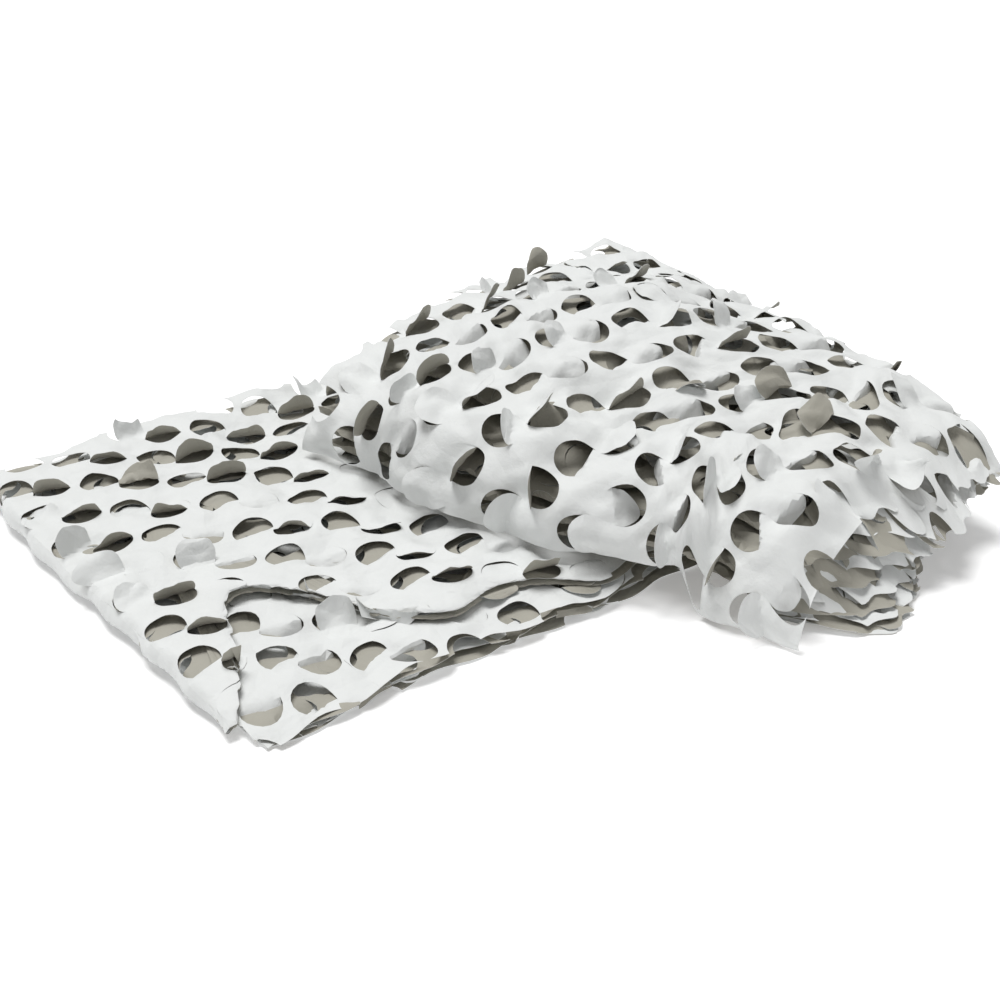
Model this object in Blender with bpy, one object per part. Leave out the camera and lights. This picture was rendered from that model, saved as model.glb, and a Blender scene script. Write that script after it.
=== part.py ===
"""Camouflage net, folded: one long strip of leaf-cut cloth, laid back and forth into two packs.

The lower pack lies flat on the ground. The strip starts on top of it, under the upper pack, goes
back and forth down to the ground layer, turns up round the right-hand end, and is laid back and
forth again as the upper pack, which lies askew, half on the lower one and half on the ground.
The last layer falls over the upper pack's left side and hangs there.

+X runs along the lower pack's front edge, +Y towards its back and +Z up. The origin is on the
ground under the middle of the whole.
"""

import math
from collections import namedtuple

import bpy
import numpy as np

MM = 0.001

# Cloth: each layer is as thick as the cloth with the curled lobes of its cuts
LOFT = 0.005
STRIP_WIDTH = 0.60
LOWER_PITCH = 0.0075
UPPER_PITCH = 0.0087
GROUND_LAYER_HEIGHT = LOFT / 2

# Mesh: where its rows cross the strip's width, closest at the front, and its steps along the strip
ACROSS_STEPS = (0.00, 0.05, 0.11, 0.18, 0.26, 0.36, 0.48, 0.61, 0.74, 0.87, 1.00)
LOWER_ROWS_ALONG = 12
UPPER_ROWS_ALONG = 8
ROUNDING_STEPS = 7
TURN_STEPS = 4
BIG_TURN_STEPS = 6

# Middle of the whole, from the lower pack's front left corner
MIDDLE = (0.4135, 0.2142)

# Each pack's fold lines in plan: across is 0 at the strip's front edge and 1 at its back edge
SidePoint = namedtuple("SidePoint", "across x y")
LOWER_LEFT = (
    SidePoint(0.00, 0.000, 0.010),
    SidePoint(0.25, -0.006, 0.155),
    SidePoint(0.50, -0.004, 0.300),
    SidePoint(0.75, -0.010, 0.450),
    SidePoint(1.00, -0.002, 0.600),
)
LOWER_RIGHT = (
    SidePoint(0.00, 0.745, 0.010),
    SidePoint(0.50, 0.750, 0.300),
    SidePoint(1.00, 0.742, 0.590),
)
UPPER_LEFT = (
    SidePoint(0.00, 0.486, -0.114),
    SidePoint(0.24, 0.436, 0.014),
    SidePoint(0.45, 0.372, 0.095),
    SidePoint(0.63, 0.333, 0.190),
    SidePoint(0.83, 0.318, 0.304),
    SidePoint(1.00, 0.285, 0.408),
)
UPPER_RIGHT = (
    SidePoint(0.00, 0.832, -0.070),
    SidePoint(0.50, 0.838, 0.255),
    SidePoint(1.00, 0.822, 0.572),
)

# One row for each layer in the strip's order, in millimetres. level counts up from the pack's
# bottom. out, front and back belong to the fold where the layer ends: how far it stands out from
# its side's line and past the strip's front and back edges. Between its two folds the layer's
# front edge swells by front_bow, most at front_at (0 is the left fold, 1 the right one), and its
# back edge by back_bow, most at the middle.
Layer = namedtuple("Layer", "pack level out front back front_bow front_at back_bow")
START = Layer("lower", 5, -60, -40, 0, 0, 0.5, 0)
LAYERS = (
    Layer("lower", 5, 2, -4, -6, 0, 0.5, 4),
    Layer("lower", 4, -4, -44, 2, 0, 0.5, -6),
    Layer("lower", 3, -2, 4, 4, 6, 0.5, 2),
    Layer("lower", 2, 2, -46, -4, 8, 0.5, 4),
    Layer("lower", 1, 6, 2, 2, -6, 0.5, -4),
    Layer("lower", 0, 10, -42, 0, 4, 0.5, 6),
    Layer("upper", 0, -30, -18, -4, 104, 0.23, 6),
    Layer("upper", 1, 0, -30, 4, 100, 0.23, -4),
    Layer("upper", 2, -26, -16, 0, 90, 0.25, 10),
    Layer("upper", 3, 4, -18, -6, 76, 0.27, 4),
    Layer("upper", 4, -32, -12, 6, 64, 0.30, -2),
    Layer("upper", 5, -2, 2, 2, 50, 0.33, 10),
    Layer("upper", 6, -54, -8, -6, 46, 0.38, 4),
    Layer("upper", 7, 2, 16, 4, 42, 0.44, -2),
    Layer("upper", 8, -97, -10, 2, 46, 0.48, 8),
    Layer("upper", 9, -4, 26, -4, 34, 0.50, 12),
    Layer("upper", 10, 0, 2, 6, -46, 0.38, 14),
)

# What an edge or a fold line stands out by fades inwards across the strip as this power
EDGE_FADE = 4

# The front edge of the lower pack's two top layers is drawn back, as a bay in the cloth
BAY_LEVEL = 4
BayPoint = namedtuple("BayPoint", "x depth")
FRONT_BAY = (
    BayPoint(-0.02, 0.000),
    BayPoint(0.03, 0.080),
    BayPoint(0.08, 0.200),
    BayPoint(0.14, 0.160),
    BayPoint(0.21, 0.055),
    BayPoint(0.31, 0.060),
    BayPoint(0.42, 0.010),
    BayPoint(0.80, 0.000),
)

# The lower pack sags towards its front and left edges
EDGE_SAG = 0.12
SAG_REACH = 0.12

# What the upper pack lies on: the lower pack's top and a little past its edges, then the ground
LOWER_TOP = 6 * LOWER_PITCH
LOWER_RIGHT_END = 0.765
LOWER_FRONT_END = 0.035
LEDGE = 0.020
SLOPE = 0.200

# The last layer's fall over the upper pack's left side, to the lower pack's top or the ground
WRAP_REACH = 0.125
WRAP_HANG = 0.012
WRAP_CLEARANCE = 0.006
WRAP_STEP_DOWN = 0.040

# How far the turn from the ground layer to the upper pack stands out
BIG_TURN_OUT = 0.016

# Slow swell of the upper pack's height, and its dome round a middle, as shares of that height
SWELL = 0.05
SWELL_ALONG = 0.62
SWELL_ACROSS = 0.47
DOME = 0.60
DOME_MIDDLE = (0.60, 0.30)
DOME_REACH = 0.30


def unit(vectors):
    """The vectors at length 1."""
    return vectors / np.linalg.norm(vectors, axis=-1, keepdims=True)


def smooth_step(value):
    """3 v^2 - 2 v^3 with v held between 0 and 1."""
    value = np.clip(value, 0.0, 1.0)
    return value * value * (3.0 - 2.0 * value)


def curve_through(places, values, at):
    """The cubic through the points (places, values), carried on straight past both ends."""
    places = np.asarray(places, float)
    values = np.asarray(values, float)
    slopes = np.gradient(values, places)
    held = np.clip(at, places[0], places[-1])
    left = np.clip(np.searchsorted(places, held, side="right") - 1, 0, len(places) - 2)
    span = places[left + 1] - places[left]
    share = (held - places[left]) / span
    inside = (
        (2 * share**3 - 3 * share**2 + 1) * values[left]
        + (share**3 - 2 * share**2 + share) * span * slopes[left]
        + (3 * share**2 - 2 * share**3) * values[left + 1]
        + (share**3 - share**2) * span * slopes[left + 1]
    )
    past = at - held
    return inside + past * np.where(past < 0, slopes[0], slopes[-1])


def side_line(points, across):
    """Plan places on a side's line, as an array of (x, y)."""
    places = [point.across for point in points]
    return np.stack(
        [
            curve_through(places, [point.x for point in points], across),
            curve_through(places, [point.y for point in points], across),
        ],
        axis=-1,
    )


def pack_sides(pack):
    """The left and right side of a pack."""
    if pack == "lower":
        return LOWER_LEFT, LOWER_RIGHT
    return UPPER_LEFT, UPPER_RIGHT


def ends_left(number):
    """The strip's first layer runs from right to left, and each later one turns back."""
    return number % 2 == 0


def swell(x, y):
    """What the upper pack's height is multiplied by: a slow wave about 1, and a dome."""
    wave = np.sin(2 * math.pi * x / SWELL_ALONG) * np.sin(2 * math.pi * y / SWELL_ACROSS)
    from_middle = np.hypot(x - DOME_MIDDLE[0], y - DOME_MIDDLE[1]) / DOME_REACH
    return 1 + SWELL * wave + DOME * (1 - np.minimum(from_middle, 1) ** 2) ** 2


def bed_height(x, y):
    """Height of what the upper pack lies on."""
    past_right = np.maximum(x - LOWER_RIGHT_END, 0)
    past_front = np.maximum(LOWER_FRONT_END - y, 0)
    past = np.hypot(past_right, past_front)
    return LOWER_TOP * (1 - smooth_step((past - LEDGE) / SLOPE))


def layer_height(layer, x, y):
    """Height of the middle of a layer's thickness."""
    if layer.pack == "lower":
        edge = np.minimum(x, y)
        sag = 1 - EDGE_SAG * (1 - smooth_step(edge / SAG_REACH))
        return GROUND_LAYER_HEIGHT + layer.level * LOWER_PITCH * sag
    level_height = layer.level * UPPER_PITCH * swell(x, y)
    return bed_height(x, y) + GROUND_LAYER_HEIGHT + level_height


def bay_depth(layer, x):
    """How far the front edge is drawn back at x."""
    if layer.pack != "lower" or layer.level < BAY_LEVEL:
        return np.zeros_like(x)
    return curve_through(
        [point.x for point in FRONT_BAY], [point.depth for point in FRONT_BAY], x
    )


def edge_bow(from_left, peak):
    """0 at both folds and 1 at the share peak of the way from the left one to the right one."""
    return np.sin(math.pi * from_left ** (math.log(0.5) / math.log(peak))) ** 2


def ruled_plan(sides, across, from_left):
    """Plan places on straight lines from the left side to the right one."""
    left, right = (side_line(side, across) for side in sides)
    return left + (right - left) * from_left[..., None]


def rows_across(layer, left_fold, right_fold, from_left, share):
    """Where the mesh's rows cross the strip, moved so that the outer ones are its raw edges."""
    front = left_fold.front + (right_fold.front - left_fold.front) * from_left
    front = front + layer.front_bow * edge_bow(from_left, layer.front_at)
    back = left_fold.back + (right_fold.back - left_fold.back) * from_left
    back = back + layer.back_bow * edge_bow(from_left, 0.5)
    moved = back * share**EDGE_FADE - front * (1 - share) ** EDGE_FADE
    return share + moved * MM / STRIP_WIDTH


def layer_rows(number):
    """One layer as rows of (x, y, z) across the strip, from its first fold to its second."""
    layer = LAYERS[number]
    before = LAYERS[number - 1] if number else START
    if layer.pack != before.pack:
        before = before._replace(out=0)
    left_fold, right_fold = (layer, before) if ends_left(number) else (before, layer)
    left_out = left_fold.out * MM if layer != LAYERS[-1] else -WRAP_REACH
    right_out = right_fold.out * MM
    rows_along = LOWER_ROWS_ALONG if layer.pack == "lower" else UPPER_ROWS_ALONG
    along = np.linspace(0, 1, rows_along + 1)[:, None]
    from_left = 1 - along if ends_left(number) else along
    share = np.array(ACROSS_STEPS)[None, :]
    across = rows_across(layer, left_fold, right_fold, from_left, share)
    sides = pack_sides(layer.pack)
    left, right = (side_line(side, across) for side in sides)
    width = np.linalg.norm(right - left, axis=-1)
    place = -left_out / width * (1 - from_left) + (1 + right_out / width) * from_left
    plan = ruled_plan(sides, across, place)
    across = across + bay_depth(layer, plan[..., 0]) / STRIP_WIDTH * (1 - share)
    plan = ruled_plan(sides, across, place)
    height = layer_height(layer, plan[..., 0], plan[..., 1])
    return np.concatenate([plan, height[..., None]], axis=-1)


def outwards(fold, inner):
    """The plan direction square to a fold line, away from the row of points inside it."""
    line = np.gradient(fold[:, :2], axis=0)
    square = np.stack([line[:, 1], -line[:, 0], np.zeros(len(line))], axis=1)
    run = np.sum(square * (fold - inner), axis=1, keepdims=True)
    return unit(square * np.sign(run))


def turn_rows(first, second, steps, out=None):
    """The rows between two layers' facing ends: half an ellipse that stands out by out."""
    start, end = first[-1], second[0]
    heading = unit(outwards(start, first[-2]) + outwards(end, second[1]))
    rise = np.abs(end[:, 2] - start[:, 2])[:, None] / 2
    reach = rise if out is None else np.maximum(np.minimum(rise, out), LOWER_PITCH / 2)
    rows = []
    for step in range(1, steps):
        angle = math.pi * step / steps - math.pi / 2
        middle = start + (end - start) * (1 + math.sin(angle)) / 2
        rows.append(middle + heading * reach * math.cos(angle))
    return np.array(rows)


def wrap_rows(top):
    """The last layer's fall: a quarter ellipse down the pack's side, then a short hanging edge."""
    start = top[-1]
    heading = outwards(start, top[-2])
    down = np.array([0.0, 0.0, -1.0])
    in_front = smooth_step((LOWER_FRONT_END - start[:, 1]) / WRAP_STEP_DOWN)
    foot = LOWER_TOP * (1 - in_front) + WRAP_CLEARANCE
    drop = (start[:, 2] - foot - WRAP_HANG)[:, None]
    rows = []
    for step in range(1, ROUNDING_STEPS + 1):
        angle = math.pi / 2 * step / ROUNDING_STEPS
        out = heading * WRAP_REACH * math.sin(angle)
        rows.append(start + out + down * drop * (1 - math.cos(angle)))
    rows.append(rows[-1] + down * WRAP_HANG)
    return np.array(rows)


def strip_middle():
    """The whole strip's middle surface, as rows across it in the strip's order."""
    layers = [layer_rows(number) for number in range(len(LAYERS))]
    parts = []
    for number, rows in enumerate(layers):
        if number:
            crossing = LAYERS[number].pack != LAYERS[number - 1].pack
            steps = BIG_TURN_STEPS if crossing else TURN_STEPS
            out = BIG_TURN_OUT if crossing else None
            parts.append(turn_rows(layers[number - 1], rows, steps, out))
        parts.append(rows)
    parts.append(wrap_rows(layers[-1]))
    return np.concatenate(parts)


def surface_normals(grid):
    """Unit normals of a grid of points, from the halved angle between neighbouring steps."""
    along = np.zeros_like(grid)
    steps = unit(np.diff(grid, axis=0))
    along[1:] += steps
    along[:-1] += steps
    across = np.zeros_like(grid)
    steps = unit(np.diff(grid, axis=1))
    across[:, 1:] += steps
    across[:, :-1] += steps
    return unit(np.cross(along, across))


def closed_sheet(name, middle, thickness):
    """A closed sheet of this thickness on a grid of points, as a mesh object."""
    normals = surface_normals(middle)
    count_along, count_across = middle.shape[:2]
    upper = middle + normals * thickness / 2
    lower = middle - normals * thickness / 2
    points = np.concatenate([upper.reshape(-1, 3), lower.reshape(-1, 3)])
    index = np.arange(count_along * count_across).reshape(count_along, count_across)
    under = index + index.size
    corners = [index[:-1, :-1], index[1:, :-1], index[1:, 1:], index[:-1, 1:]]
    faces = [np.stack([corner.ravel() for corner in corners], axis=1)]
    corners = [under[:-1, :-1], under[:-1, 1:], under[1:, 1:], under[1:, :-1]]
    faces.append(np.stack([corner.ravel() for corner in corners], axis=1))
    rim = np.concatenate([index[:-1, 0], index[-1, :-1], index[:0:-1, -1], index[0, :0:-1]])
    rim_under = rim + index.size
    following, following_under = np.roll(rim, -1), np.roll(rim_under, -1)
    faces.append(np.stack([following, rim, rim_under, following_under], axis=1))
    mesh = bpy.data.meshes.new(name)
    mesh.from_pydata(points.tolist(), [], np.concatenate(faces).tolist())
    mesh.validate()
    sheet = bpy.data.objects.new(name, mesh)
    bpy.context.scene.collection.objects.link(sheet)
    return sheet


def cloth_material():
    """Matt white synthetic cloth."""
    material = bpy.data.materials.new("white_cloth")
    material.use_nodes = True
    shader = material.node_tree.nodes["Principled BSDF"]
    shader.inputs["Base Color"].default_value = (0.80, 0.81, 0.80, 1.0)
    shader.inputs["Roughness"].default_value = 0.75
    shader.inputs["Metallic"].default_value = 0.0
    return material


def build_net():
    """The folded net, with its origin under its middle."""
    middle = strip_middle()
    middle[..., :2] -= np.array(MIDDLE)
    net = closed_sheet("net_sheet", middle, LOFT)
    net.data.materials.append(cloth_material())
    return net


for old in list(bpy.data.objects):
    bpy.data.objects.remove(old, do_unlink=True)
build_net()
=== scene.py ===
"""Camouflage net, folded: how it looks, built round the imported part.

One strip of thin cloth, white on one side and taupe on the other, is slit all over with S-shaped
leaf cuts and laid back and forth into two packs. Lengths are in metres. +X runs along the lower
pack's front edge, +Y towards its back and +Z up, and the origin is on the ground under the middle.
"""

import math
from collections import namedtuple

import bpy
import numpy as np
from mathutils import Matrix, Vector
from mathutils.geometry import delaunay_2d_cdt


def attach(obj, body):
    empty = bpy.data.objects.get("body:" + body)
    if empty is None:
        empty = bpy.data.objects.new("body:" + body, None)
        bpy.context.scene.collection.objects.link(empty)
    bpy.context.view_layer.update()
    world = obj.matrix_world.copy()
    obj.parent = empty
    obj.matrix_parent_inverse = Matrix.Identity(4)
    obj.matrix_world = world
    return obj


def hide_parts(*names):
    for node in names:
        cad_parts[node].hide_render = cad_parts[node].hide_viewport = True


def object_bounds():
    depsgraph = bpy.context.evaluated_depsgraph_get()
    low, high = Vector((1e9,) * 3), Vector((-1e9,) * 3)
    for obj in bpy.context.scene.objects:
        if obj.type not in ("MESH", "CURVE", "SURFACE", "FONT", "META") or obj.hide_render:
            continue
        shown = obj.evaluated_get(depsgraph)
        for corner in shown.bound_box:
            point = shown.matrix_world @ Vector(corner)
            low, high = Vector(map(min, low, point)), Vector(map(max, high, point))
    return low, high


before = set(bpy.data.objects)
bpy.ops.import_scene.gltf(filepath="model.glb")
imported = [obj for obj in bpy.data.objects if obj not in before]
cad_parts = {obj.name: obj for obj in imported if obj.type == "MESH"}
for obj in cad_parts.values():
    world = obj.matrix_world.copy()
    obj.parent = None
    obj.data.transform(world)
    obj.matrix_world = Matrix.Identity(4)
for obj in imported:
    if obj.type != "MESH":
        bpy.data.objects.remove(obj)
cad_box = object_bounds()


# ---------------------------------------------------------------------------------- Camera
# The photograph is taken from the lower pack's front left, 28 degrees above the ground, with a
# long lens on a full frame.

CAMERA_PLACE = (-1.0376, -1.4446, 0.9803)
CAMERA_AIM = (-0.0631, -0.0791, 0.0883)
CAMERA_LENS = 68.4
CAMERA_SENSOR = 36.0

camera = bpy.data.objects.new("camera", bpy.data.cameras.new("camera"))
camera.data.lens = CAMERA_LENS
camera.data.sensor_width = CAMERA_SENSOR
camera.location = CAMERA_PLACE
looking = Vector(CAMERA_AIM) - Vector(CAMERA_PLACE)
camera.rotation_euler = looking.to_track_quat("-Z", "Y").to_euler()
bpy.context.scene.collection.objects.link(camera)
bpy.context.scene.camera = camera


# ---------------------------------------------------------------------------- The folding
# How the strip lies, much as in the part: it starts on top of the lower pack, goes back and forth
# down to the ground, turns up round the right-hand end and back and forth up the upper pack,
# and its end falls over the upper pack's left side. It is one length of thin cloth.

MM = 0.001
LOFT = 0.005
STRIP_WIDTH = 0.60
LOWER_PITCH = 0.0075
UPPER_PITCH = 0.0087
GROUND_LAYER_HEIGHT = LOFT / 2
MIDDLE = (0.4135, 0.2142)

# Fold lines in plan, from the lower pack's front left corner: across is 0 at the strip's front
# edge and 1 at its back edge
SidePoint = namedtuple("SidePoint", "across x y")
LOWER_LEFT = (
    SidePoint(0.00, 0.000, 0.010),
    SidePoint(0.25, -0.006, 0.155),
    SidePoint(0.50, -0.004, 0.300),
    SidePoint(0.75, -0.010, 0.450),
    SidePoint(1.00, -0.002, 0.600),
)
LOWER_RIGHT = (
    SidePoint(0.00, 0.745, 0.010),
    SidePoint(0.50, 0.750, 0.300),
    SidePoint(1.00, 0.742, 0.590),
)
UPPER_LEFT = (
    SidePoint(0.00, 0.486, -0.114),
    SidePoint(0.24, 0.436, 0.014),
    SidePoint(0.45, 0.372, 0.095),
    SidePoint(0.63, 0.333, 0.190),
    SidePoint(0.83, 0.318, 0.304),
    SidePoint(1.00, 0.285, 0.408),
)
UPPER_RIGHT = (
    SidePoint(0.00, 0.832, -0.070),
    SidePoint(0.50, 0.838, 0.255),
    SidePoint(1.00, 0.822, 0.572),
)

# One row for each layer, in millimetres. out, front and back belong to the fold where the layer
# ends: how far it stands out from its side's line and past the strip's front and back edges.
# Between its folds the front edge swells by front_bow, most at front_at, and the back edge by
# back_bow.
Layer = namedtuple("Layer", "pack level out front back front_bow front_at back_bow")
START = Layer("lower", 5, -60, -40, 0, 0, 0.5, 0)
LAYERS = (
    Layer("lower", 5, 2, -4, -6, 0, 0.5, 4),
    Layer("lower", 4, -4, -44, 2, 0, 0.5, -6),
    Layer("lower", 3, -2, 4, 4, 6, 0.5, 2),
    Layer("lower", 2, 2, -46, -4, 8, 0.5, 4),
    Layer("lower", 1, -6, 2, 2, -6, 0.5, -4),
    Layer("lower", 0, 10, -42, 0, 4, 0.5, 6),
    Layer("upper", 0, -30, -18, -4, 104, 0.23, 6),
    Layer("upper", 1, 0, -30, 4, 100, 0.23, -4),
    Layer("upper", 2, -26, -16, 0, 90, 0.25, 10),
    Layer("upper", 3, 4, -18, -6, 76, 0.27, 4),
    Layer("upper", 4, -32, -12, 6, 64, 0.30, -2),
    Layer("upper", 5, -2, 2, 2, 50, 0.33, 10),
    Layer("upper", 6, -54, -8, -6, 46, 0.38, 4),
    Layer("upper", 7, 2, 16, 4, 42, 0.44, -2),
    Layer("upper", 8, -97, -10, 2, 46, 0.48, 8),
    Layer("upper", 9, -4, 26, -4, -8, 0.50, 12),
    Layer("upper", 10, 0, 2, 6, -12, 0.30, 14),
)
EDGE_FADE = 4
TOP_LOWER, LAST_LOWER, TOP_UPPER = 0, 5, len(LAYERS) - 1

# Every raw front edge wanders by up to this many millimetres, each layer's in its own way
EDGE_WANDER = 8
WANDER_TURNS = (3.0, 4.9)
WANDER_STEP = 2.4

# The front edge of the lower pack's two top layers lies back from the pack's, folded under
BAY_LEVEL = 4
TUCK_FROM = 0.020
TUCK_ROUNDING = 0.003
TUCK_DROP = 0.0035
BayPoint = namedtuple("BayPoint", "x depth")
FRONT_BAY = (
    BayPoint(-0.02, 0.000),
    BayPoint(0.03, 0.080),
    BayPoint(0.08, 0.200),
    BayPoint(0.14, 0.160),
    BayPoint(0.21, 0.055),
    BayPoint(0.31, 0.060),
    BayPoint(0.42, 0.010),
    BayPoint(0.80, 0.000),
)

LEFT_ROUNDING = 0.15
ROUNDING_FROM = -0.006
ROUNDING_WIDTH = 0.055
ROUNDING_POWER = 1.5
EDGE_SAG = 0.12
SAG_REACH = 0.12
LOWER_TOP = 6 * LOWER_PITCH
LOWER_RIGHT_END = 0.765
LOWER_FRONT_END = 0.035
LEDGE = 0.020
SLOPE = 0.200
WRAP_REACH = 0.125
WRAP_HANG = 0.012
WRAP_CLEARANCE = 0.006
WRAP_STEP_DOWN = 0.040
BIG_TURN_OUT = 0.016
SWELL = 0.05
SWELL_ALONG = 0.62
SWELL_ACROSS = 0.47
DOME = 0.60
DOME_MIDDLE = (0.60, 0.30)
DOME_REACH = 0.30

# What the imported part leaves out: the lower pack thins towards its front edge, its top layer
# hangs down as a skin over the folds at its left end, and the upper pack's top layer has a flap
# that hangs over the middle of its front edge. Three of the layers above also end a little
# further in or out than the part's: the lower pack's level 1, and the upper one's top two.
FRONT_THINNING = (0.82, 0.22)
THINNING_ENDS = (0.03, 0.17)
THINNING_FROM = -0.008
THINNING_REACH = 0.085
SkinPoint = namedtuple("SkinPoint", "share out fall rise")
SKIN = (
    SkinPoint(0.00, 0.0, 0.00, 0.0),
    SkinPoint(0.10, 6.5, 0.06, 0.0),
    SkinPoint(0.22, 10.0, 0.28, 0.0),
    SkinPoint(0.46, 12.5, 0.80, 0.0),
    SkinPoint(0.55, 12.0, 0.97, 0.0),
    SkinPoint(0.60, 10.0, 1.00, 0.0),
    SkinPoint(0.66, 8.6, 0.92, 0.0),
    SkinPoint(0.84, 6.6, 0.40, 0.6),
    SkinPoint(0.94, 4.2, 0.05, 0.95),
    SkinPoint(1.00, 0.0, 0.00, 1.0),
)
SKIN_FOOT = 0.011
SKIN_FOOT_SHARE = 0.6
SKIN_BULGE = 0.35
BULGE_WAVES = (31, 47)
ROWS_PER_SKIN = 36
FLAP_REACH = 22
FLAP_AT = 0.40
FLAP_FROM = 0.012
FLAP_SLOPE = math.radians(56)
FLAP_BEND = 0.045

# Steps of the surface that the cloth follows
COLUMNS = 121
ROWS_PER_LAYER = 60
ROWS_PER_TURN = 10
ROWS_PER_ROUNDING = 40
ROWS_PER_HANG = 4
LAY_STEP = 0.002
TINY = 1e-12


def unit(vectors):
    """The vectors at length 1."""
    return vectors / np.maximum(np.linalg.norm(vectors, axis=-1, keepdims=True), TINY)


def smooth_step(value):
    """3 v^2 - 2 v^3 with v held between 0 and 1."""
    value = np.clip(value, 0.0, 1.0)
    return value * value * (3.0 - 2.0 * value)


def curve_through(places, values, at):
    """The cubic through the points (places, values), carried on straight past both ends."""
    places = np.asarray(places, float)
    values = np.asarray(values, float)
    slopes = np.gradient(values, places)
    held = np.clip(at, places[0], places[-1])
    left = np.clip(np.searchsorted(places, held, side="right") - 1, 0, len(places) - 2)
    span = places[left + 1] - places[left]
    share = (held - places[left]) / span
    inside = (
        (2 * share**3 - 3 * share**2 + 1) * values[left]
        + (share**3 - 2 * share**2 + share) * span * slopes[left]
        + (3 * share**2 - 2 * share**3) * values[left + 1]
        + (share**3 - share**2) * span * slopes[left + 1]
    )
    past = at - held
    return inside + past * np.where(past < 0, slopes[0], slopes[-1])


def side_line(points, across):
    """Plan places on a side's line, as an array of (x, y)."""
    places = [point.across for point in points]
    x = curve_through(places, [point.x for point in points], across)
    y = curve_through(places, [point.y for point in points], across)
    return np.stack([x, y], axis=-1)


def ends_left(number):
    """The strip's first layer runs from right to left, and each later one turns back."""
    return number % 2 == 0


def bed_height(x, y):
    """Height of what the upper pack lies on: the lower pack's top, eased down to the ground."""
    past_right = np.maximum(x - LOWER_RIGHT_END, 0)
    past_front = np.maximum(LOWER_FRONT_END - y, 0)
    past = np.hypot(past_right, past_front)
    return LOWER_TOP * (1 - smooth_step((past - LEDGE) / SLOPE))


def layer_height(layer, x, y):
    """Its level times the pitch, less near the lower pack's edges, more in the upper's dome."""
    if layer.pack == "lower":
        sag = 1 - EDGE_SAG * (1 - smooth_step(np.minimum(x, y) / SAG_REACH))
        rounding = 1 - smooth_step((x - ROUNDING_FROM) / ROUNDING_WIDTH)
        sag = sag * (1 - LEFT_ROUNDING * rounding**ROUNDING_POWER)
        thinning = np.interp(x, THINNING_ENDS, FRONT_THINNING)
        thin = 1 - thinning * (1 - smooth_step((y - THINNING_FROM) / THINNING_REACH))
        return GROUND_LAYER_HEIGHT + layer.level * LOWER_PITCH * sag * thin
    wave = np.sin(2 * math.pi * x / SWELL_ALONG) * np.sin(2 * math.pi * y / SWELL_ACROSS)
    from_middle = np.hypot(x - DOME_MIDDLE[0], y - DOME_MIDDLE[1]) / DOME_REACH
    swell = 1 + SWELL * wave + DOME * (1 - np.minimum(from_middle, 1) ** 2) ** 2
    return bed_height(x, y) + GROUND_LAYER_HEIGHT + layer.level * UPPER_PITCH * swell


def bay_depth(layer, x):
    """How far the front edge is drawn back at x."""
    if layer.pack != "lower" or layer.level < BAY_LEVEL:
        return np.zeros_like(x)
    return curve_through(
        [point.x for point in FRONT_BAY], [point.depth for point in FRONT_BAY], x
    )


def edge_bow(from_left, peak):
    """0 at both folds and 1 at the share peak of the way from the left one to the right one."""
    return np.sin(math.pi * from_left ** (math.log(0.5) / math.log(peak))) ** 2


def ruled_plan(sides, across, from_left):
    """Plan places on straight lines from the left side to the right one."""
    left, right = (side_line(side, across) for side in sides)
    return left + (right - left) * from_left[..., None]


def rows_across(layer, left_fold, right_fold, from_left, share):
    """The share of the width, moved near the strip's two edges by what the row's folds say."""
    front = left_fold.front + (right_fold.front - left_fold.front) * from_left
    front = front + layer.front_bow * edge_bow(from_left, layer.front_at)
    slow, quick = (
        np.sin(2 * math.pi * turns * from_left + WANDER_STEP * layer.level)
        for turns in WANDER_TURNS
    )
    front = front + EDGE_WANDER * slow * quick
    back = left_fold.back + (right_fold.back - left_fold.back) * from_left
    back = back + layer.back_bow * edge_bow(from_left, 0.5)
    moved = back * share**EDGE_FADE - front * (1 - share) ** EDGE_FADE
    return share + moved * MM / STRIP_WIDTH


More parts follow.
